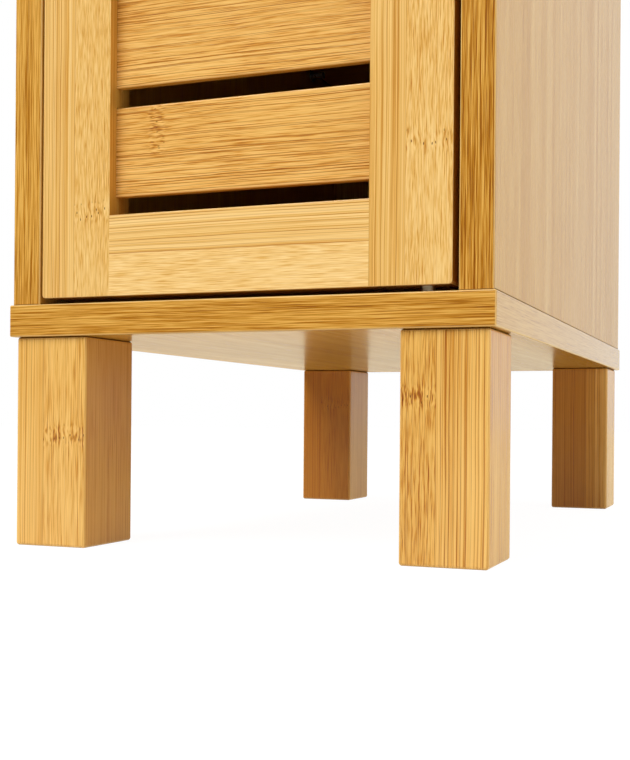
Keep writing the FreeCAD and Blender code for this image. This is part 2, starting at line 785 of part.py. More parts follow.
for label, outer, inner, start in (("door_bottom_rail", "bottom", "top", "door_z"),
                                   ("door_top_rail", "top", "bottom", "door_z + door_height - rail_width")):
    rail = block(label, "rail_length", "door_thickness", "rail_width",
                 (f"front {outer}", f"back {outer}"), "door_round")
    round_edges(rail, (f"front {inner}", f"back {inner}"), "rail_round")
    for end, level, inward in (("left", ZERO, FORWARD), ("right", "rail_length", BACKWARD)):
        drill(rail, end + "_bores", "YZ_Plane", level, inward,
              [("door_thickness / 2", height) for height in rail_dowel_heights(ZERO)],
              "frame_dowel_bore", "frame_dowel_depth")
    node(rail, ("door_left_x + stile_width", "door_front_y", start))

frame_dowel = round_bar("frame_dowel", "frame_dowel_diameter", "frame_dowel_length")
group("door_frame_dowels", frame_dowel, [
    ((f"{joint} - frame_dowel_length / 2", "pivot_y", height), RIGHT)
    for joint in ("door_left_x + stile_width", "door_left_x + door_width - stile_width")
    for start in ("door_z", "door_z + door_height - rail_width")
    for height in rail_dowel_heights(start)
])

for number in range(SIZES["slat_count"]):
    slat = block(f"door_slat_{number + 1:02d}",
                 "rail_length + 2 * slat_tenon", "slat_thickness", "slat_height", FRAME_ENDS, "slat_round")
    node(slat, ("door_left_x + stile_width - slat_tenon", "door_front_y + slat_setback",
                f"door_z + rail_width + slat_gap + {number} * slat_pitch"))


# Knob

knob_bore = "knob_screw_diameter / 2 + fit_clearance"
knob = turned("door_knob", [
    (knob_bore, ZERO),
    ("knob_foot_diameter / 2", ZERO),
    ("knob_foot_diameter / 2", "knob_foot_height"),
    ("knob_neck_diameter / 2", "knob_neck_start"),
    ("knob_neck_diameter / 2", "knob_neck_end"),
    ("knob_diameter / 2", "knob_flare_end"),
    ("knob_diameter / 2", "knob_length"),
    (ZERO, "knob_length"),
    (ZERO, "knob_bore_depth"),
    (knob_bore, "knob_bore_depth"),
])
dress(knob, "Fillet", rim(knob, "z", "knob_length"), "knob_dome_round")
node(knob, ("knob_x", "door_front_y", "knob_z"), FRONT)


def pan_screw(label, diameter, length, head_diameter, head_height):
    """Screw that stands on its tip, with a flat head above its shank."""
    return turned(label, [
        (ZERO, ZERO),
        (f"{diameter} / 2", ZERO),
        (f"{diameter} / 2", length),
        (f"{head_diameter} / 2", length),
        (f"{head_diameter} / 2", f"{length} + {head_height}"),
        (ZERO, f"{length} + {head_height}"),
    ])


knob_screw = pan_screw("knob_screw", "knob_screw_diameter", "knob_screw_length",
                       "knob_screw_head_diameter", "knob_screw_head_height")
node(knob_screw, ("knob_x", "door_front_y - knob_screw_grip", "knob_z"), BACK)


# Magnetic catch

catch = block("catch_case", "catch_ear_thickness", "catch_depth", "catch_height")
housing = add_sketch(catch, "catch_housing", "XY_Plane", "(catch_height - catch_housing_height) / 2")
draw_outline(housing, rectangle(ZERO, ZERO, "catch_width", "catch_depth"))
add_pad(catch, housing, "catch_housing_height")
rout(catch, "magnet_seat", "XZ_Plane", ZERO, FORWARD, rectangle(
    "stack_x - fit_clearance", "(catch_height - magnet_height) / 2 - fit_clearance",
    "stack_width + 2 * fit_clearance", "magnet_height + 2 * fit_clearance"), "pole_depth - pole_reach")
drill(catch, "screw_holes", "YZ_Plane", "catch_ear_thickness", BACKWARD,
      [("catch_depth / 2", "catch_screw_inset"), ("catch_depth / 2", "catch_height - catch_screw_inset")],
      "catch_screw_diameter + 2 * fit_clearance", "catch_ear_thickness + overrun")
node(catch, ("inner_left_x", "catch_y", "catch_z - catch_height / 2"))

magnet_z = "catch_z - magnet_height / 2"
magnet = block("catch_magnet", "magnet_thickness", "magnet_depth", "magnet_height")
node(magnet, ("inner_left_x + stack_x + pole_thickness", "pole_y + pole_depth - magnet_depth", magnet_z))
pole_plate = block("pole_plate", "pole_thickness", "pole_depth", "magnet_height")
group("catch_pole_plates", pole_plate, [
    ((f"inner_left_x + stack_x + {offset}", "pole_y", magnet_z), UP)
    for offset in (ZERO, "pole_thickness + magnet_thickness")
])

catch_screw = pan_screw("catch_screw", "catch_screw_diameter", "catch_screw_depth + catch_ear_thickness",
                        "catch_screw_head_diameter", "catch_screw_head_height")
group("catch_screws", catch_screw, [
    (("inner_left_x - catch_screw_depth", "catch_y + catch_depth / 2", f"side_z + {height}"), RIGHT)
    for height in screw_heights
])

strike = block("strike_plate", "strike_width", "strike_thickness", "strike_height")
drill(strike, "screw_hole", "XZ_Plane", ZERO, FORWARD, [("strike_width / 2", "strike_height / 2")],
      "strike_screw_diameter + 2 * fit_clearance", "strike_thickness + overrun")
dress(strike, "Chamfer", rim(strike, "y", "strike_thickness"),
      "(strike_screw_head_diameter - strike_screw_diameter) / 2")
node(strike, ("door_left_x + strike_inset", "door_back_y", "catch_z - strike_height / 2"))

strike_screw = turned("strike_screw", [
    (ZERO, ZERO),
    ("strike_screw_diameter / 2", ZERO),
    ("strike_screw_diameter / 2", "strike_screw_length - strike_screw_head_height"),
    ("strike_screw_head_diameter / 2", "strike_screw_length"),
    (ZERO, "strike_screw_length"),
])
node(strike_screw, ("door_left_x + strike_inset + strike_width / 2",
                    "door_back_y + strike_thickness - strike_screw_length", "catch_z"), BACK)


# Checks and files

doc.recompute()
for item in doc.Objects:
    if "Invalid" in item.State or "Error" in item.State:
        raise RuntimeError(f"{item.Label} failed: {item.State}")
    if item.TypeId == "PartDesign::Pocket" and item.Shape.Volume > item.BaseFeature.Shape.Volume - TOUCH:
        raise RuntimeError(f"{item.Label} cuts nothing")
for item in nodes:
    if item.Shape.isNull() or not item.Shape.isValid():
        raise RuntimeError(f"{item.Label} has no valid shape")

os.makedirs("parts", exist_ok=True)
for item in nodes:
    item.Shape.exportStep(os.path.join("parts", item.Label + ".step"))
print(len(nodes), "nodes,", sum(len(item.Shape.Solids) for item in nodes), "solids")
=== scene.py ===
import math
from collections import namedtuple
from itertools import cycle

import bpy
from mathutils import Matrix, Vector


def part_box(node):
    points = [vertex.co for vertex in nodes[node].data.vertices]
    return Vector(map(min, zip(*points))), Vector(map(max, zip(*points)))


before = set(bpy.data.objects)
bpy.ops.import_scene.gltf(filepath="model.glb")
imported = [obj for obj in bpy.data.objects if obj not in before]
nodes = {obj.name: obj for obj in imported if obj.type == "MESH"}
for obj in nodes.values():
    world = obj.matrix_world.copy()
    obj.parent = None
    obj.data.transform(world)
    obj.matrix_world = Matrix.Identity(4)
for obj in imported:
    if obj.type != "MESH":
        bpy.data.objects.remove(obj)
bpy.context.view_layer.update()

# Looks of a narrow bathroom cabinet: oak-printed boards, bamboo legs and a louvred bamboo door.
# Lengths are in metres, in the frame of the cabinet: +X to the right, -Y to the front, +Z up.

MM = 0.001
X, Y, Z = range(3)
WHITE = (1.0, 1.0, 1.0, 1.0)
BLACK = (0.0, 0.0, 0.0, 1.0)

# Camera at the photograph's place: yaw turns it to the left of +Y, and roll lifts its right side
CAMERA_PLACE = Vector((0.22975, -0.61242, 0.06237))
CAMERA_YAW = math.radians(19.248)
CAMERA_ROLL = math.radians(0.468)
LENS_MM = 50.42
SENSOR_MM = 36.0
SHIFT_X = -0.1086
SHIFT_Y = 0.0538
NEAREST_SEEN = 0.01

# Light: the sky as the camera sees it, and as it fills from the horizon, from overhead and from behind
SKY_SEEN = 1.0
HORIZON_FILL = 0.02
OVERHEAD_FILL = 0.55
REAR_FILL = 0.6
# Gloss mirrors a dim room in front, which turns into the sky between two values of a direction's Y
ROOM_SEEN = 0.08
ROOM_EDGES = (-0.35, 0.15)
FLOOR_SIZE = 12.0
FLOOR_WHITE = 0.74
FLOOR_GLOW = 1.12
FLOOR_GLOW_SHARE = 0.85
# Painted warm light: the floor's glow, where gloss mirrors it, is tinted as the light that the wood throws
# on it
FLOOR_GLOW_WARM_TINT = (1.1, 0.97, 0.7, 1.0)
# Place, size and watts of each softbox; all of them face the same point
SOFTBOXES = {
    "key": (Vector((-1.8, -3.4, 5.0)), 3.4, 300.0),
    "side_fill": (Vector((1.8, -0.3, 0.9)), 1.3, 11.0),
}
SOFTBOX_AIM = Vector((0.0, 0.0, 0.25))

# The sRGB curve: a straight line up to the knee, and a power above it
SRGB_TOP = 255
SRGB_KNEE = 0.04045
SRGB_SLOPE = 12.92
SRGB_SHIFT = 0.055
SRGB_POWER = 2.4


def linear(red, green, blue):
    """Colour for a shader socket, from the 0 to 255 values that a picture shows."""
    def channel(level):
        share = level / SRGB_TOP
        if share <= SRGB_KNEE:
            return share / SRGB_SLOPE
        return ((share + SRGB_SHIFT) / (1 + SRGB_SHIFT)) ** SRGB_POWER
    return (channel(red), channel(green), channel(blue), 1.0)


# Node trees

# Sockets of a Mix node that blends colours: its two colours, and the colour that comes out
MIX_FIRST, MIX_SECOND, MIX_COLOUR = 6, 7, 2
# Middle of the range that a pattern swings in
PATTERN_MIDDLE = 0.5
# Parts of a seed by which a pattern moves along X, Y and Z
SEED_PARTS = (1.0, 0.7, 1.3)
# How far spots leave their grid, as a share of its spacing
SPOT_SPREAD = 0.8
# How squarely a face looks along an axis where its rounding starts, and where it is all rounding
ROUNDED_FACING = (0.99, 0.9)
# Specular level of plastics and metals, bamboo, printed foil, the base board's foil and the side bands
PLAIN_GLOSS = 0.5
WOOD_GLOSS = 0.45
FOIL_GLOSS = 0.26
BASE_GLOSS = 0.12
SIDE_BAND_GLOSS = 0.34
# Painted shade: a dark line where a piece ends against another, standing in for the shadow in the joint
JOINT_SHADE_WIDTH = 0.9 * MM
JOINT_SHADE_STRENGTH = 0.9
JOINT_SHADE_BROWN = linear(70, 42, 16)

# One cloud pattern: waves a metre across and along the grain, what it adds to a seed, detail, roughness
Layer = namedtuple("Layer", "waves shift detail roughness", defaults=(1.0, 0.5))


class Tree:
    """Node tree of a material or a world. Most methods add nodes and return the socket they end in."""

    def __init__(self, owner):
        owner.use_nodes = True
        self.nodes = owner.node_tree.nodes
        self.links = owner.node_tree.links

    def feed(self, node, inputs):
        """Link each input to a socket, or give it a constant."""
        for key, source in inputs.items():
            if isinstance(source, bpy.types.NodeSocket):
                self.links.new(source, node.inputs[key])
            else:
                node.inputs[key].default_value = source

    def add(self, kind, inputs, **settings):
        node = self.nodes.new("ShaderNode" + kind)
        for key, setting in settings.items():
            setattr(node, key, setting)
        self.feed(node, inputs)
        return node

    def math(self, operation, *values):
        return self.add("Math", dict(enumerate(values)), operation=operation).outputs[0]

    def split(self, vector):
        return list(self.add("SeparateXYZ", {0: vector}).outputs)

    def span(self, value, low, high, start=0.0, end=1.0, how="LINEAR"):
        """Number that goes from low to high while a value goes from start to end."""
        inputs = {"Value": value, "From Min": start, "From Max": end, "To Min": low, "To Max": high}
        return self.add("MapRange", inputs, interpolation_type=how).outputs[0]

    def paint(self, share, first, second, how="MIX"):
        """Colour between two others."""
        inputs = {0: share, MIX_FIRST: first, MIX_SECOND: second}
        return self.add("Mix", inputs, data_type="RGBA", blend_type=how).outputs[MIX_COLOUR]

    def ray(self, kind):
        """1 for rays of a kind and 0 for all others."""
        return self.add("LightPath", {}).outputs[f"Is {kind} Ray"]

    def seen_directly(self):
        """1 for rays from the camera, also by way of gloss or glass, and 0 for light that only fills."""
        total = self.ray("Camera")
        for kind in ("Glossy", "Transmission"):
            total = self.math("MAXIMUM", total, self.ray(kind))
        return total


class Graph(Tree):
    """Node tree of a new material for a piece of the cabinet."""

    def __init__(self, name):
        self.material = bpy.data.materials.new(name)
        super().__init__(self.material)
        self.shader = self.nodes["Principled BSDF"]
        coordinates = self.add("TexCoord", {}).outputs
        self.point = coordinates["Object"]
        self.place = self.split(self.point)
        self.normal = self.split(coordinates["Normal"])
        self.facing = [self.math("ABSOLUTE", part) for part in self.normal]

    def product(self, first, *others):
        for other in others:
            first = self.math("MULTIPLY", first, other)
        return first

    def sway(self, base, pattern, reach):
        """Base plus a pattern that swings about its middle, times its reach."""
        return self.math("MULTIPLY_ADD", self.math("SUBTRACT", pattern, PATTERN_MIDDLE), reach, base)

    def join(self, *parts):
        return self.add("CombineXYZ", dict(enumerate(parts))).outputs[0]

    def stretch(self, vector, waves, along, seed):
        """Vector in waves: so many a metre across and along one axis, at a spot that the seed picks."""
        across_waves, along_waves = waves
        scales = tuple(along_waves if axis == along else across_waves for axis in (X, Y, Z))
        spot = tuple(part * seed for part in SEED_PARTS)
        return self.add("VectorMath", {0: vector, 1: scales, 2: spot}, operation="MULTIPLY_ADD").outputs[0]

    def noise(self, vector, layer, along, seed):
        """Cloud pattern that swings about its middle."""
        inputs = {"Vector": self.stretch(vector, layer.waves, along, seed + layer.shift), "Scale": 1.0,
                  "Detail": layer.detail, "Roughness": layer.roughness}
        return self.add("TexNoise", inputs).outputs[0]

    def lines(self, across, waves, half_width, seed):
        """Thin lines at odd spacings, so many a metre on average, each with a strength of its own."""
        inputs = {"W": self.math("MULTIPLY_ADD", across, waves, seed), "Scale": 1.0}
        spread = self.add("TexVoronoi", inputs, voronoi_dimensions="1D").outputs
        return self.product(self.band(spread["Distance"], half_width * waves, 0.0), spread["Color"])

    def spots(self, across, along, spacing, seed):
        """Distance to the nearest of a loose grid of spots, in their spacing, and a share for each spot."""
        across_spacing, along_spacing = spacing
        place = self.join(self.math("MULTIPLY_ADD", across, 1 / across_spacing, seed),
                          self.math("MULTIPLY_ADD", along, 1 / along_spacing, -SPOT_SPREAD / 2), 0.0)
        inputs = {"Vector": place, "Scale": 1.0, "Randomness": SPOT_SPREAD}
        spread = self.add("TexVoronoi", inputs, voronoi_dimensions="2D").outputs
        return spread["Distance"], spread["Color"]

    def band(self, value, start, end):
        """Smooth step from 0 at start to 1 at end, where start may be the higher."""
        if start < end:
            return self.span(value, 0.0, 1.0, start, end, "SMOOTHSTEP")
        return self.span(value, 1.0, 0.0, end, start, "SMOOTHSTEP")

    def rounded_edge(self):
        """1 on the rounding between two faces of a box and 0 on the faces."""
        level = self.math("MAXIMUM", self.facing[X], self.facing[Y])
        return self.band(self.math("MAXIMUM", level, self.facing[Z]), *ROUNDED_FACING)

    def blend(self, share, first, second):
        """Number between two others."""
        inputs = {"Factor": share, "A": first, "B": second}
        return self.add("Mix", inputs, data_type="FLOAT").outputs[0]

    def ramp(self, share, stops, interpolation="LINEAR"):
        """Outputs of a colour ramp through stops of a position and a colour."""
        node = self.add("ValToRGB", {0: share})
        node.color_ramp.interpolation = interpolation
        elements = node.color_ramp.elements
        while len(elements) < len(stops):
            elements.new(1.0)
        for element, (position, colour) in zip(elements, stops):
            element.position = position
            element.color = colour
        return node.outputs

    def tint(self, pattern, positions, tones):
        """Colour of a pattern through tones at the given positions."""
        return self.ramp(pattern, list(zip(positions, tones)))["Color"]

    def finish(self, colour, roughness, height, depth, gloss=PLAIN_GLOSS):
        """Put colour, roughness, relief of that depth and gloss on the shader."""
        relief = self.add("Bump", {"Height": height, "Distance": depth}).outputs[0]
        self.feed(self.shader, {"Base Color": colour, "Roughness": roughness,
                                "Specular IOR Level": gloss, "Normal": relief})
        return self.material


# Bamboo

DOOR_TONES = (linear(254, 213, 137), linear(244, 196, 112), linear(226, 166, 74), linear(190, 120, 34))
SLAT_TONES = (linear(254, 204, 119), linear(244, 188, 99), linear(219, 149, 56), linear(160, 87, 10))
LEG_TONES = (linear(253, 204, 116), linear(242, 188, 97), linear(217, 149, 52), linear(162, 87, 6))
TONE_STOPS = (0.30, 0.47, 0.60, 0.74)
TONE_MIDDLE = 0.46
PORE_BROWN = linear(115, 58, 0)
# Painted shade: the door's narrow faces are darker, standing in for the shade in the gaps and slots around
# them, and the faces that strips end in are plainer
GAP_SHADE_VALUE = 0.72
RAIL_GAP_SHADE_VALUE = 0.6
HINGE_GAP_SHADE_VALUE = 0.45
FLANK_CONTRAST = 0.85
FLANK_VEINS = 0.3
# Darker strips are browner: powers of a strip's value in its green and its blue
SHADE_GREEN = 1.75
SHADE_BLUE = 4.0
# The brightest that a strip can be, because a colour ramp holds its value as a share of this
BRIGHTEST = 2.0
# Rounded edges are paler: wear, and a painted highlight
EDGE_WEAR_AND_HIGHLIGHT = 0.35
END_GRAIN_TONES = (linear(208, 152, 78), linear(130, 78, 28))
END_GRAIN_STOPS = (0.35, 0.65)
# How squarely a surface looks across the strips where a flank turns into a face, and along the fibres
# where a face turns into a cut end
FLANK_TO_FACE = (0.75, 0.65)
FACE_TO_END = (0.75, 0.95)
SEAM_HALF_WIDTH = 0.3 * MM
SEAM_STRENGTH = 0.5
KNUCKLE_REACH = 16 * MM
KNUCKLE_HALF_HEIGHT = 6.0 * MM
KNUCKLE_SWIRL = 1.4 * MM
KNUCKLE_WANDER = 6 * MM
PORE_SPACING = (2.7 * MM, 7.0 * MM)
PORE_RADIUS = 0.11
PORE_CHANCE = (0.3, 0.36)
FIBRE_WANDER = 1.3 * MM
VEIN_WAVES = 640
VEIN_HALF_WIDTH = 0.32 * MM
VEIN_BREAKS = (0.2, 0.55)
BAMBOO_RELIEF = 0.05 * MM
# Roughness at the pattern's palest, and what its darkest adds
BAMBOO_ROUGHNESS = 0.14
FIBRE_ROUGHNESS = 0.2

DASH_WAVES_ACROSS = 2900
RIPPLES = Layer((170, 0), shift=0)
WANDER = Layer((60, 14), shift=3)
SWIRLS = Layer((260, 120), shift=5)
LONG_LINES = Layer((2300, 3.2), shift=17, detail=2, roughness=0.6)
FINE_FIBRES = Layer((4600, 60), shift=23)
CLOUDS = Layer((38, 9), shift=29)
END_GRAIN = Layer((1300, 1300), shift=31, detail=2)
VEIN_GAPS = Layer((900, 20), shift=41)
TONGUES = Layer((1200, 80), shift=43)
FLECKS = Layer((1400, 240), shift=47)
FINE_REACH = 0.2
CLOUD_REACH = 0.26
TONGUE_REACH = 1.1
FLECK_REACH = 1.3

# Cut of a strip, from short dashes to long lines
FLAT, MIXED, LINED = 1.0, 0.7, 0.0


class Strip:
    """One glued strip of a bamboo piece: its width, cut and brightness, and how far along the fibres its
    knuckle is. Both lengths are given in millimetres."""

    def __init__(self, width, cut, value=1.0, knuckle=None):
        self.width = width * MM
        self.cut = cut
        self.value = value
        self.knuckle = None if knuckle is None else knuckle * MM


class Figure:
    """How a piece of bamboo is figured: contrast of its fibres, strength of the dark veins on lined and on
    flat strips, dashes a metre on flat strips, painted light and shade on the two faces that the strips
    end in, and strength of the knuckles."""

    def __init__(self, contrast=1.0, lined_veins=0.6, flat_veins=0.2, dash_waves=100, painted_flank_shading=1.0,
                 knuckle=1.0):
        self.contrast = contrast
        self.lined_veins = lined_veins
        self.flat_veins = flat_veins
        self.dashes = Layer((DASH_WAVES_ACROSS, dash_waves), shift=11, detail=2, roughness=0.55)
        self.painted_flank_shading = painted_flank_shading
        self.knuckle = knuckle


class Bamboo(Graph):
    """Laminated bamboo of one piece: fibres along one axis, strips side by side along another."""

    def __init__(self, piece, along, across, strips, seed, figure):
        super().__init__("bamboo_" + piece)
        self.seed = seed
        self.figure = figure
        low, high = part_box(piece)
        self.length = high[along] - low[along]
        self.run = self.math("SUBTRACT", self.place[along], low[along])
        self.side = self.math("SUBTRACT", self.place[across], low[across])
        self.deep = self.place[X + Y + Z - along - across]
        self.raw = self.join(self.side, self.run, self.deep)
        self.on_face = self.band(self.facing[across], *FLANK_TO_FACE)
        self.on_end = self.band(self.facing[along], *FACE_TO_END)
        self.lay_strips(strips, high[across] - low[across])
        self.bend_fibres()

    def grain(self, vector, layer):
        """Cloud pattern of a vector that holds the place across, along and deep in the strips."""
        return self.noise(vector, layer, Y, self.seed)

    def lay_strips(self, strips, width):
        """Find value, cut, knuckle and glue line at a place across two or more strips."""
        stops, seams = [], []
        start = 0.0
        half_seam = SEAM_HALF_WIDTH / width
        for strip in strips:
            place = start / width
            height = 0.0 if strip.knuckle is None else strip.knuckle / self.length
            present = 0.0 if strip.knuckle is None else 1.0
            stops.append((place, (strip.value / BRIGHTEST, strip.cut, height, present)))
            if start > 0:
                seams += [(place - half_seam, BLACK), (place, WHITE), (place + half_seam, BLACK)]
            start += strip.width
        share = self.math("DIVIDE", self.side, width)
        chosen = self.ramp(share, stops, "CONSTANT")
        value, cut, height = self.add("SeparateColor", {0: chosen["Color"]}).outputs
        # Painted light and shade: the flanks are darkened or lightened by the figure's factor
        painted_flank_shading = self.blend(self.on_face, self.figure.painted_flank_shading, 1.0)
        self.value = self.product(value, BRIGHTEST, painted_flank_shading)
        self.cut = self.product(cut, self.on_face)
        self.knuckle = self.product(height, self.length)
        self.present = self.product(chosen["Alpha"], self.cut)
        self.seam = self.ramp(share, seams)["Color"]

    def bend_fibres(self):
        """Let the fibres wander a little, and swirl round the knuckle of a flat strip."""
        from_knuckle = self.math("SUBTRACT", self.run, self.knuckle)
        self.rise = self.sway(from_knuckle, self.grain(self.raw, RIPPLES), KNUCKLE_WANDER)
        distance = self.math("ABSOLUTE", self.rise)
        self.near = self.product(self.band(distance, KNUCKLE_REACH, 0.0), self.present)
        within = self.band(distance, KNUCKLE_HALF_HEIGHT, KNUCKLE_HALF_HEIGHT / 2)
        self.row = self.product(within, self.present)
        swirl = self.product(self.sway(0.0, self.grain(self.raw, SWIRLS), KNUCKLE_SWIRL), self.near)
        self.bend = self.sway(swirl, self.grain(self.raw, WANDER), FIBRE_WANDER)
        self.fibre = self.join(self.math("ADD", self.side, self.bend), self.run, self.deep)

    def pattern(self):
        """Short dashes on flat strips, long lines where the strips stand on edge, and knuckles: flames that
        close on a wandering row of pale and dark flecks."""
        dashes = self.grain(self.fibre, self.figure.dashes)
        pattern = self.blend(self.cut, self.grain(self.fibre, LONG_LINES), dashes)
        pattern = self.sway(pattern, self.grain(self.fibre, FINE_FIBRES), FINE_REACH)
        pattern = self.sway(pattern, self.grain(self.raw, CLOUDS), CLOUD_REACH)
        for layer, reach, where in ((TONGUES, TONGUE_REACH, self.near), (FLECKS, FLECK_REACH, self.row)):
            marks = self.sway(0.0, self.grain(self.fibre, layer), reach * self.figure.knuckle)
            pattern = self.math("MULTIPLY_ADD", marks, where, pattern)
        contrast = self.blend(self.on_face, FLANK_CONTRAST * self.figure.contrast, self.figure.contrast)
        return self.sway(TONE_MIDDLE, pattern, contrast)

    def strip_colour(self, pattern, tones):
        """Tones of the pattern, in the shade of the strip."""
        shade = self.join(self.value, self.math("POWER", self.value, SHADE_GREEN),
                          self.math("POWER", self.value, SHADE_BLUE))
        return self.paint(1.0, self.tint(pattern, TONE_STOPS, tones), shade, "MULTIPLY")

    def with_veins(self, colour, dark):
        """Colour with broken dark veins along the fibres."""
        lane = self.math("ADD", self.blend(self.on_face, self.deep, self.side), self.bend)
        veins = self.lines(lane, VEIN_WAVES, VEIN_HALF_WIDTH, self.seed)
        broken = self.band(self.grain(self.fibre, VEIN_GAPS), *VEIN_BREAKS)
        strength = self.product(self.blend(self.cut, self.figure.lined_veins, self.figure.flat_veins),
                                self.blend(self.on_face, FLANK_VEINS, 1.0))
        return self.paint(self.product(veins, broken, strength), colour, dark)

    def with_pores(self, colour):
        """Colour with dark pores in the knuckles."""
        from_pore, chance = self.spots(self.side, self.rise, PORE_SPACING, self.seed)
        pores = self.product(self.band(from_pore, PORE_RADIUS, PORE_RADIUS / 2),
                             self.band(chance, *PORE_CHANCE))
        return self.paint(self.product(pores, self.row), colour, PORE_BROWN)

    def with_borders(self, colour, tones, top_joint_shade):
        """Colour with glue lines, rounded edges made paler by wear and a painted highlight, a painted shade
        line at the far end of the fibres, and cut ends that show the fibres as dots."""
        colour = self.paint(self.product(self.seam, self.on_face, SEAM_STRENGTH), colour, tones[-1])
        colour = self.paint(self.product(self.rounded_edge(), EDGE_WEAR_AND_HIGHLIGHT), colour, tones[0])
        # Painted shade: a dark line at the far end of the fibres, where the piece meets another
        joint_shade = self.band(self.run, self.length - JOINT_SHADE_WIDTH, self.length - JOINT_SHADE_WIDTH / 2)
        colour = self.paint(self.product(joint_shade, top_joint_shade), colour, JOINT_SHADE_BROWN)
        dots = self.tint(self.grain(self.raw, END_GRAIN), END_GRAIN_STOPS, END_GRAIN_TONES)
        return self.paint(self.on_end, colour, dots)


def bamboo(piece, along, across, strips, tones, seed, figure=Figure(), top_joint_shade=0.0):
    """Bamboo with a painted shade line of that strength at the far end of its fibres, where it meets
    another piece.
    """
    wood = Bamboo(piece, along, across, strips, seed, figure)
    pattern = wood.pattern()
    colour = wood.strip_colour(pattern, tones)
    colour = wood.with_veins(colour, tones[-1])
    colour = wood.with_pores(colour)
    colour = wood.with_borders(colour, tones, top_joint_shade)
    roughness = wood.math("MULTIPLY_ADD", pattern, FIBRE_ROUGHNESS, BAMBOO_ROUGHNESS)
    return wood.finish(colour, roughness, pattern, BAMBOO_RELIEF, WOOD_GLOSS)


# Printed boards

OAK_TONES = (linear(237, 183, 90), linear(212, 152, 58), linear(182, 117, 25), linear(138, 74, 2))
OAK_STOPS = (0.30, 0.46, 0.58, 0.72)
# Rounded edges of a band are paler: scraped trim, and a painted highlight
OAK_TRIM_AND_HIGHLIGHT = linear(238, 198, 120)
OAK_TRIM_AND_HIGHLIGHT_STRENGTH = 0.7
PANEL_TONES = (linear(228, 183, 94), linear(215, 165, 73), linear(201, 147, 57), linear(168, 112, 34))
BASE_TONES = (linear(228, 178, 78), linear(208, 154, 54), linear(188, 132, 40), linear(150, 90, 18))
BOARD_STOPS = (0.25, 0.45, 0.62, 0.85)
BOARD_LEVEL = 0.47
CORE_TONES = (linear(224, 194, 148), linear(186, 148, 102), linear(134, 100, 64))
CORE_STOPS = (0.32, 0.5, 0.68)
FIBRE_TONES = (linear(196, 158, 112), linear(170, 131, 88), linear(138, 102, 64))
FIBRE_STOPS = (0.3, 0.5, 0.7)
# How squarely a face looks along its axis where the print starts, and where it is whole
PRINTED_FACING = (0.5, 0.9)
INSIDE_FACING = (-0.5, -0.9)
PRINT_RELIEF = 0.01 * MM
# Chips stand out so many times as far as the print
CHIP_RELIEF = 4.0
# Roughness of the painted joint shade, bare chipboard and the back's two faces, and how far a print sways
# the others'
JOINT_SHADE_ROUGHNESS = 1.0
CORE_ROUGHNESS = 0.85
BACK_FIBRE_ROUGHNESS = 0.8
BACK_PRINT_ROUGHNESS = 0.4
FOIL_ROUGHNESS_REACH = 0.2
BAND_ROUGHNESS_REACH = 0.15

OAK_BANDS = Layer((260, 4), shift=0, detail=2)
OAK_STREAKS = Layer((3300, 26), shift=7, detail=2, roughness=0.6)
EDGE_STREAKS = Layer((2800, 34), shift=7, detail=2, roughness=0.6)
OAK_PORES = Layer((4600, 90), shift=13)
SHEETS = Layer((85, 1.2), shift=29, detail=3, roughness=0.6)
CHIPS = Layer((420, 420), shift=19, detail=4, roughness=0.7)
BACK_FIBRES = Layer((520, 300), shift=5, detail=5, roughness=0.7)
OAK_STREAK_REACH = 1.1
OAK_BAND_REACH = 0.25
OAK_PORE_REACH = 0.4
SHEET_REACH = 0.65


def oak_pattern(graph, along, seed, level=BOARD_LEVEL, streaks=OAK_STREAKS, contrast=1.0):
    """Streaks of oak grain along one axis, darker at a higher level."""
    pattern = level
    for layer, reach in ((streaks, OAK_STREAK_REACH * contrast), (OAK_BANDS, OAK_BAND_REACH),
                         (OAK_PORES, OAK_PORE_REACH)):
        pattern = graph.sway(pattern, graph.noise(graph.point, layer, along, seed), reach)
    return pattern


def edge_band(name, along, seed, level, contrast, tones, roughness, gloss):
    """Oak-printed plastic strip glued on a board's edge, pale along its rounded edges as scraped trim and
    as a painted highlight.
    """
    graph = Graph(name)
    pattern = oak_pattern(graph, along, seed, level, EDGE_STREAKS, contrast)
    colour = graph.tint(pattern, OAK_STOPS, tones)
    colour = graph.paint(graph.product(graph.rounded_edge(), OAK_TRIM_AND_HIGHLIGHT_STRENGTH), colour, OAK_TRIM_AND_HIGHLIGHT)
    roughness = graph.sway(roughness, pattern, BAND_ROUGHNESS_REACH)
    return graph.finish(colour, roughness, pattern, PRINT_RELIEF, gloss)


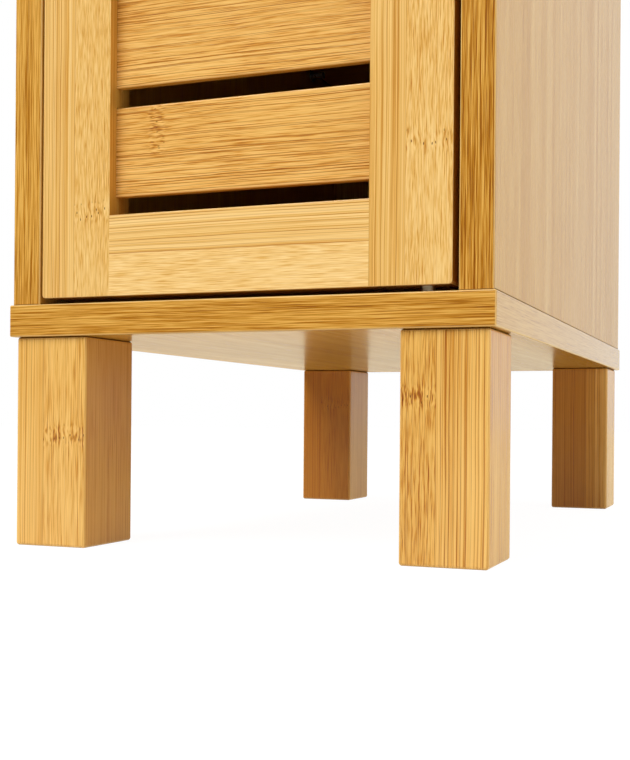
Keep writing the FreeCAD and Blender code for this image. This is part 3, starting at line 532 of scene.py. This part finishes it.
def laminate(piece, face, along, seed, roughness, tones=PANEL_TONES, gloss=FOIL_GLOSS):
    """Oak-printed foil on the two faces of a board, with bare chipboard on its edges and bores.

    A dark line of painted shade, standing in for the shadow in a joint, runs along the foil's cut ends."""
    graph = Graph(piece + "_laminate")
    sheets = graph.noise(graph.point, SHEETS, along, seed)
    pattern = graph.sway(oak_pattern(graph, along, seed), sheets, SHEET_REACH)
    low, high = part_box(piece)
    from_end = graph.math("MINIMUM", graph.math("SUBTRACT", graph.place[along], low[along]),
                          graph.math("SUBTRACT", high[along], graph.place[along]))
    # Painted shade: the foil darkens into a dark line near its cut ends, where the board meets other pieces
    joint_shade = graph.band(from_end, JOINT_SHADE_WIDTH, JOINT_SHADE_WIDTH / 2)
    foil_colour = graph.paint(graph.product(joint_shade, JOINT_SHADE_STRENGTH),
                              graph.tint(pattern, BOARD_STOPS, tones), JOINT_SHADE_BROWN)
    foil_roughness = graph.sway(roughness, pattern, FOIL_ROUGHNESS_REACH)
    foil_roughness = graph.blend(joint_shade, foil_roughness, JOINT_SHADE_ROUGHNESS)
    chips = graph.noise(graph.point, CHIPS, along, seed)
    printed = graph.band(graph.facing[face], *PRINTED_FACING)
    colour = graph.paint(printed, graph.tint(chips, CORE_STOPS, CORE_TONES), foil_colour)
    height = graph.blend(printed, graph.product(chips, CHIP_RELIEF), pattern)
    return graph.finish(colour, graph.blend(printed, CORE_ROUGHNESS, foil_roughness), height,
                        PRINT_RELIEF, gloss)


def hardboard(name, seed):
    """Thin fibreboard back: printed towards the inside, bare brown fibres towards the wall."""
    graph = Graph(name)
    print_colour = graph.tint(oak_pattern(graph, Z, seed), BOARD_STOPS, PANEL_TONES)
    fibres = graph.noise(graph.point, BACK_FIBRES, Z, seed)
    inside = graph.band(graph.normal[Y], *INSIDE_FACING)
    colour = graph.paint(inside, graph.tint(fibres, FIBRE_STOPS, FIBRE_TONES), print_colour)
    roughness = graph.blend(inside, BACK_FIBRE_ROUGHNESS, BACK_PRINT_ROUGHNESS)
    return graph.finish(colour, roughness, fibres, PRINT_RELIEF, FOIL_GLOSS)


# Metal, plastic and dowel wood

PATCH_STOPS = (0.35, 0.65)
METAL_PATCHES = Layer((240, 240), shift=0, detail=3)
METAL_MARKS = Layer((900, 5200), shift=3, detail=2)
METAL_RELIEF = 0.02 * MM
METAL_ROUGHNESS_REACH = 0.25
SKIN = Layer((2600, 2600), shift=0, detail=2)
SKIN_PATCHES = Layer((90, 90), shift=3, detail=2)
SKIN_RELIEF = 0.03 * MM
SKIN_ROUGHNESS_REACH = 0.15
BEECH_TONES = (linear(232, 200, 152), linear(212, 172, 118), linear(170, 122, 74))
BEECH_STOPS = (0.35, 0.55, 0.72)
BEECH_FLECKS = Layer((1500, 110), shift=0, detail=3)
BEECH_RELIEF = 0.05 * MM
BEECH_ROUGHNESS = 0.6
BEECH_ROUGHNESS_REACH = 0.2


def metal(name, tones, roughness, seed):
    """Plated or cast metal with fine turning marks and dull patches."""
    graph = Graph(name)
    graph.feed(graph.shader, {"Metallic": 1.0})
    patches = graph.noise(graph.point, METAL_PATCHES, Z, seed)
    marks = graph.noise(graph.point, METAL_MARKS, Z, seed)
    colour = graph.tint(patches, PATCH_STOPS, tones)
    return graph.finish(colour, graph.sway(roughness, patches, METAL_ROUGHNESS_REACH), marks, METAL_RELIEF)


def moulded(name, tones, roughness, seed):
    """Moulded plastic or pressed ferrite with a fine grained skin."""
    graph = Graph(name)
    skin = graph.noise(graph.point, SKIN, Z, seed)
    patches = graph.noise(graph.point, SKIN_PATCHES, Z, seed)
    colour = graph.tint(patches, PATCH_STOPS, tones)
    return graph.finish(colour, graph.sway(roughness, patches, SKIN_ROUGHNESS_REACH), skin, SKIN_RELIEF)


def dowel_wood(name, along, seed):
    """Pale beech with short flecks along the dowel."""
    graph = Graph(name)
    flecks = graph.noise(graph.point, BEECH_FLECKS, along, seed)
    colour = graph.tint(flecks, BEECH_STOPS, BEECH_TONES)
    roughness = graph.sway(BEECH_ROUGHNESS, flecks, BEECH_ROUGHNESS_REACH)
    return graph.finish(colour, roughness, flecks, BEECH_RELIEF)


# Finishes of the pieces

# Knuckle of each slat from the lowest up, in millimetres from its left end
SLAT_KNUCKLES = (28, None, 96, None, 61, 118, None, 40, None, 84, None)
# Width of a slat's lower strip, in turn, in millimetres
SLAT_LOWER_STRIPS = (19.0, 22.0, 25.0)
FRONT_BAND_LOOKS = {"tones": OAK_TONES, "roughness": 0.25, "gloss": FOIL_GLOSS}
SIDE_BAND_LOOKS = {"tones": PANEL_TONES, "roughness": 0.09, "gloss": SIDE_BAND_GLOSS}


def cover(piece, material):
    """Give a piece a material in place of all it has."""
    slots = nodes[piece].data.materials
    slots.clear()
    slots.append(material)


def seeded(pieces, first, step):
    """Pieces, each with a seed of its own that lies a step from the one before."""
    return [(piece, first + step * number) for number, piece in enumerate(pieces)]


def finish_boards():
    cover("base_board", laminate("base_board", face=Z, along=Y, seed=11.3, roughness=0.225,
                                 tones=BASE_TONES, gloss=BASE_GLOSS))
    cover("top_board", laminate("top_board", face=Z, along=Y, seed=14.4, roughness=0.26))
    for piece, seed in seeded(("left_side_panel", "right_side_panel"), first=23.9, step=4.7):
        cover(piece, laminate(piece, face=X, along=Z, seed=seed, roughness=0.27))
    for piece, seed in seeded(("lower_shelf", "upper_shelf"), first=31.1, step=2.9):
        cover(piece, laminate(piece, face=Z, along=X, seed=seed, roughness=0.3))
    cover("back_panel", hardboard("back_panel_hardboard", seed=43.3))


def finish_edge_bands():
    # Direction of the grain, and level and contrast of the print
    bands = {
        "base_front_edge_band": (X, 0.465, 0.95),
        "top_front_edge_band": (X, 0.48, 0.95),
        "base_side_edge_bands": (Y, 0.4, 1.0),
        "top_side_edge_bands": (Y, 0.4, 1.0),
        "left_panel_edge_band": (Z, 0.45, 1.05),
        "right_panel_edge_band": (Z, 0.52, 1.2),
        "lower_shelf_edge_band": (X, 0.48, 0.95),
        "upper_shelf_edge_band": (X, 0.48, 0.95),
    }
    for (piece, (along, level, contrast)), seed in seeded(bands.items(), first=61.7, step=5.9):
        looks = SIDE_BAND_LOOKS if along == Y else FRONT_BAND_LOOKS
        cover(piece, edge_band(piece + "_print", along, seed, level, contrast, **looks))


def finish_legs():
    legs = {
        # The flank values paint shade on the side faces of the front legs and the rear right leg, and light
        # on the rear left leg's
        "leg_front_left": (
            Figure(contrast=1.05, lined_veins=0.8, flat_veins=0.4, dash_waves=50, painted_flank_shading=0.77, knuckle=0.75),
            Strip(15.8, LINED, 1.0), Strip(24.2, FLAT, 1.02, knuckle=54)),
        "leg_front_right": (
            Figure(contrast=1.4, lined_veins=1.5, flat_veins=0.8, dash_waves=80, painted_flank_shading=0.9, knuckle=0.75),
            Strip(16.5, FLAT, 0.94, knuckle=73), Strip(23.5, LINED, 1.0)),
        # Painted shade: the rear legs' strips are darker than the front legs', for the shade under the
        # cabinet as well as for their own tone
        "leg_rear_left": (
            Figure(contrast=0.75, lined_veins=0.5, flat_veins=0.3, dash_waves=50, painted_flank_shading=1.45, knuckle=0.6),
            Strip(15.0, LINED, 0.55), Strip(25.0, FLAT, 0.57, knuckle=76)),
        "leg_rear_right": (
            Figure(contrast=1.2, lined_veins=0.9, flat_veins=0.3, dash_waves=50, painted_flank_shading=0.945),
            Strip(24.0, LINED, 0.62), Strip(7.0, LINED, 0.8), Strip(9.0, LINED, 1.0)),
    }
    for (piece, (figure, *strips)), seed in seeded(legs.items(), first=4.1, step=9.7):
        # The legs' tops carry a painted shade line where they meet the base board
        cover(piece, bamboo(piece, Z, X, strips, LEG_TONES, seed, figure, JOINT_SHADE_STRENGTH))


def finish_stiles():
    # Painted shade: each stile's flank value darkens its narrow faces, in the gaps beside the door
    stiles = {
        "door_left_stile": (
            GAP_SHADE_VALUE, Strip(18.0, LINED, 1.0), Strip(20.0, FLAT, 1.0, knuckle=40)),
        "door_right_stile": (
            HINGE_GAP_SHADE_VALUE, Strip(16.5, LINED, 0.99), Strip(21.5, FLAT, 1.01, knuckle=61.5)),
    }
    for (piece, (gap_shade, *strips)), seed in seeded(stiles.items(), first=51.3, step=7.9):
        figure = Figure(contrast=1.05, lined_veins=1.3, flat_veins=0.4, dash_waves=110, painted_flank_shading=gap_shade,
                        knuckle=0.55)
        cover(piece, bamboo(piece, Z, X, strips, DOOR_TONES, seed, figure))


def finish_rails():
    rails = {
        "door_bottom_rail": (Strip(20.0, FLAT, 1.085), Strip(18.5, LINED, 1.04)),
        "door_top_rail": (Strip(17.0, LINED, 0.98), Strip(21.5, FLAT, 1.0, knuckle=90)),
    }
    # Painted shade on the rails' narrow faces, in the gaps above and below them
    figure = Figure(contrast=0.85, lined_veins=1.2, flat_veins=0.3, dash_waves=80, painted_flank_shading=RAIL_GAP_SHADE_VALUE)
    for (piece, strips), seed in seeded(rails.items(), first=71.9, step=5.3):
        cover(piece, bamboo(piece, X, Z, strips, DOOR_TONES, seed, figure))


def finish_slats():
    slats = sorted(piece for piece in nodes if piece.startswith("door_slat"))
    # Painted shade on the slats' narrow faces, inside the slots
    figure = Figure(contrast=1.4, lined_veins=1.3, flat_veins=1.3, dash_waves=60, painted_flank_shading=GAP_SHADE_VALUE,
                    knuckle=0.7)
    plans = zip(slats, cycle(SLAT_LOWER_STRIPS), SLAT_KNUCKLES)
    for (piece, lower, knuckle), seed in seeded(plans, first=91.7, step=6.1):
        low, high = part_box(piece)
        height = (high[Z] - low[Z]) / MM
        strips = (Strip(lower, MIXED, 1.0), Strip(height - lower, MIXED, 0.98, knuckle))
        cover(piece, bamboo(piece, X, Z, strips, SLAT_TONES, seed, figure))


def finish_knob():
    strips = (Strip(9.0, LINED), Strip(17.0, LINED, 0.97))
    cover("door_knob", bamboo("door_knob", Y, X, strips, LEG_TONES, seed=37.7))


def finish_fittings():
    steel = metal("zinc_plated_steel", (linear(206, 208, 212), linear(168, 170, 174)),
                  roughness=0.3, seed=3.7)
    for piece in ("leg_hanger_bolts", "cam_bolts", "shelf_pins", "knob_screw", "catch_pole_plates",
                  "catch_screws", "strike_plate", "strike_screw"):
        cover(piece, steel)
    bare_steel = metal("bare_steel", (linear(216, 208, 194), linear(170, 162, 148)),
                       roughness=0.38, seed=7.3)
    for piece in ("lower_pivot_pin", "upper_pivot_pin", "lower_pivot_bush", "upper_pivot_bush"):
        cover(piece, bare_steel)
    cast = metal("cast_zinc", (linear(178, 178, 176), linear(138, 138, 138)), roughness=0.45, seed=9.1)
    for piece in ("leg_insert_nuts", "cam_locks"):
        cover(piece, cast)
    cover("carcass_dowels", dowel_wood("carcass_dowel_wood", Z, seed=5.3))
    cover("door_frame_dowels", dowel_wood("frame_dowel_wood", X, seed=8.9))
    plastic = moulded("catch_plastic", (linear(122, 80, 46), linear(104, 66, 38)), roughness=0.45, seed=2.9)
    cover("catch_case", plastic)
    ferrite = moulded("ferrite", (linear(58, 57, 58), linear(40, 40, 42)), roughness=0.6, seed=6.1)
    cover("catch_magnet", ferrite)


# Studio

def floor_material():
    """Matt white that glows towards the camera, so that it shows white and keeps a faint shadow."""
    material = bpy.data.materials.new("white_floor")
    tree = Tree(material)
    matt = tree.nodes["Principled BSDF"]
    tree.feed(matt, {"Base Color": (FLOOR_WHITE, FLOOR_WHITE, FLOOR_WHITE, 1.0), "Roughness": 1.0,
                     "Specular IOR Level": 0.0})
    tone = tree.paint(tree.ray("Camera"), FLOOR_GLOW_WARM_TINT, WHITE)
    glow = tree.add("Emission", {"Color": tone, "Strength": FLOOR_GLOW})
    share = tree.math("MULTIPLY", tree.seen_directly(), FLOOR_GLOW_SHARE)
    mixed = tree.add("MixShader", {0: share, 1: matt.outputs[0], 2: glow.outputs[0]})
    tree.feed(tree.nodes["Material Output"], {"Surface": mixed.outputs[0]})
    return material


def add_floor():
    half = FLOOR_SIZE / 2
    mesh = bpy.data.meshes.new("floor")
    corners = [(-half, -half, 0), (half, -half, 0), (half, half, 0), (-half, half, 0)]
    mesh.from_pydata(corners, [], [(0, 1, 2, 3)])
    mesh.materials.append(floor_material())
    floor = bpy.data.objects.new("floor", mesh)
    bpy.context.collection.objects.link(floor)


def add_sky():
    world = bpy.data.worlds.new("studio")
    tree = Tree(world)
    direction = tree.split(tree.add("TexCoord", {}).outputs["Generated"])
    fill = tree.math("ADD", tree.span(direction[Z], HORIZON_FILL, OVERHEAD_FILL),
                     tree.span(direction[Y], 0.0, REAR_FILL))
    mirrored = tree.span(direction[Y], ROOM_SEEN, SKY_SEEN, *ROOM_EDGES)
    seen = tree.span(tree.ray("Camera"), mirrored, SKY_SEEN)
    strength = tree.span(tree.seen_directly(), fill, seen)
    tree.feed(tree.nodes["Background"], {"Color": WHITE, "Strength": strength})
    bpy.context.scene.world = world


def add_softboxes():
    for name, (place, size, watts) in SOFTBOXES.items():
        light = bpy.data.lights.new(name, "AREA")
        light.size = size
        light.energy = watts
        softbox = bpy.data.objects.new(name, light)
        softbox.location = place
        softbox.rotation_euler = (SOFTBOX_AIM - place).to_track_quat("-Z", "Y").to_euler()
        bpy.context.collection.objects.link(softbox)


def add_camera():
    data = bpy.data.cameras.new("camera")
    data.sensor_fit = "VERTICAL"
    data.sensor_height = SENSOR_MM
    data.lens = LENS_MM
    data.shift_x = SHIFT_X
    data.shift_y = SHIFT_Y
    data.clip_start = NEAREST_SEEN
    right = Vector((math.cos(CAMERA_YAW), math.sin(CAMERA_YAW), 0))
    up = Vector((0, 0, 1))
    tilted_right = right * math.cos(CAMERA_ROLL) + up * math.sin(CAMERA_ROLL)
    tilted_up = up * math.cos(CAMERA_ROLL) - right * math.sin(CAMERA_ROLL)
    back = tilted_right.cross(tilted_up)
    turn = Matrix((tilted_right, tilted_up, back)).transposed()
    camera = bpy.data.objects.new("camera", data)
    camera.matrix_world = Matrix.Translation(CAMERA_PLACE) @ turn.to_4x4()
    bpy.context.collection.objects.link(camera)
    bpy.context.scene.camera = camera


finish_boards()
finish_edge_bands()
finish_legs()
finish_stiles()
finish_rails()
finish_slats()
finish_knob()
finish_fittings()
add_floor()
add_sky()
add_softboxes()
add_camera()
bpy.context.scene.view_settings.view_transform = "Standard"
